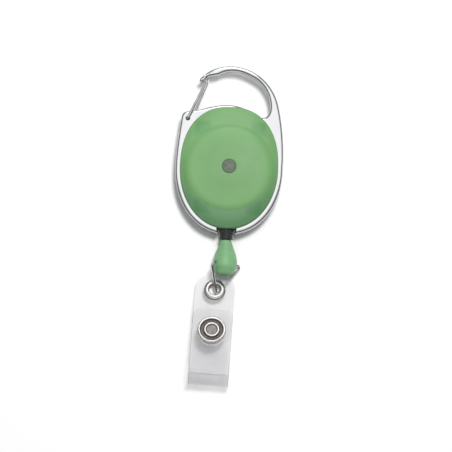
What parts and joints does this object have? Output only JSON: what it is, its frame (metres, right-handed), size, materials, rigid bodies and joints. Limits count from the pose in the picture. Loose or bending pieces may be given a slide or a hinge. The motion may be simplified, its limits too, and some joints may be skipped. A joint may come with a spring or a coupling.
{
  "type": "retractable badge reel",
  "caption": "Badge reel with a carabiner frame, spring-wound cord in an oval housing, end fitting, wire link and a clear strap closed by a snap.",
  "frame": {"origin": "centre of the housing's flat back, on the spool's axis", "axes": "+Z out of the dome along the spool's axis, +Y along the length towards the hook, +X to the right seen from the dome's side"},
  "size_m": [0.0401, 0.1203, 0.012],
  "materials": {
    "chrome": "polished nickel-chrome plating over die-cast zinc",
    "wire": "nickel-plated spring wire",
    "green_shell": "translucent green, smooth",
    "green_fitting": "translucent green, moulded",
    "rivet_steel": "dull zinc",
    "reel_white": "natural white acetal",
    "spring_steel": "blued spring strip",
    "cord": "braided nylon",
    "black_plastic": "satin black",
    "vinyl": "clear flexible vinyl",
    "nickel": "nickel plate, slightly brushed"
  },
  "bodies": {
    "housing": {"carabiner_frame": "chrome", "front_shell": "green_shell", "back_shell": "green_shell", "axle_rivet": "rivet_steel", "rivet_washer": "nickel"},
    "gate": {"wire_gate": "wire"},
    "reel": {"spool": "reel_white", "spring_cover": "reel_white", "mainspring": "spring_steel", "wound_cord": "cord", "cord_anchor": "cord"},
    "cord_end": {"cord_stop": "black_plastic", "cord_knot": "cord", "cord_lead": "cord"},
    "fitting": {"end_fitting": "green_fitting"},
    "link": {"wire_link": "wire"},
    "strap": {"strap_front": "vinyl", "eyelet": "nickel", "eyelet_washer": "nickel", "snap_cap": "nickel", "snap_socket": "nickel", "snap_spring": "wire"},
    "strap_flap": {"strap_back": "vinyl", "snap_stud": "nickel", "snap_post": "nickel"}
  },
  "joints": [
    {"name": "gate_swing", "type": "hinge", "parent": "housing", "child": "gate", "pos_m": [-0.0161, 0.0182, 0.0056], "axis": [0, 0, -1], "range_deg": [0, 28], "stiffness_Nm_per_rad": 0.02, "springref_deg": -20.05},
    {"name": "cord_pull", "type": "slide", "parent": "housing", "child": "cord_end", "axis": [0, -1, 0], "range_m": [0, 0.72], "stiffness_N_per_m": 1.39, "springref_m": -0.72, "deforming": ["cord_lead"]},
    {"name": "spool_spin", "type": "hinge", "parent": "housing", "child": "reel", "pos_m": [0, 0, 0.0056], "axis": [0, 0, -1], "range_deg": [0, 3360], "deforming": ["mainspring"]},
    {"name": "fitting_swivel", "type": "hinge", "parent": "cord_end", "child": "fitting", "pos_m": [0, -0.031, 0.0056], "axis": [0, -1, 0], "continuous": true},
    {"name": "link_swing", "type": "hinge", "parent": "fitting", "child": "link", "pos_m": [0, -0.0356, 0.0056], "axis": [0.7716, 0, -0.6361], "range_deg": [-90, 45]},
    {"name": "strap_swing", "type": "hinge", "parent": "link", "child": "strap", "pos_m": [-0.00226, -0.04604, 0.00166], "axis": [0.7716, 0, -0.6361], "range_deg": [-4, 8]},
    {"name": "strap_open", "type": "hinge", "parent": "strap", "child": "strap_flap", "pos_m": [-0.00445, -0.08125, 0.00493], "axis": [-0.9996, 0.0297, 0], "range_deg": [0, 150], "deforming": ["snap_spring"]}
  ],
  "couplings": [
    {"joint": "spool_spin", "follows": "cord_pull", "rad_per_m": 81}
  ]
}
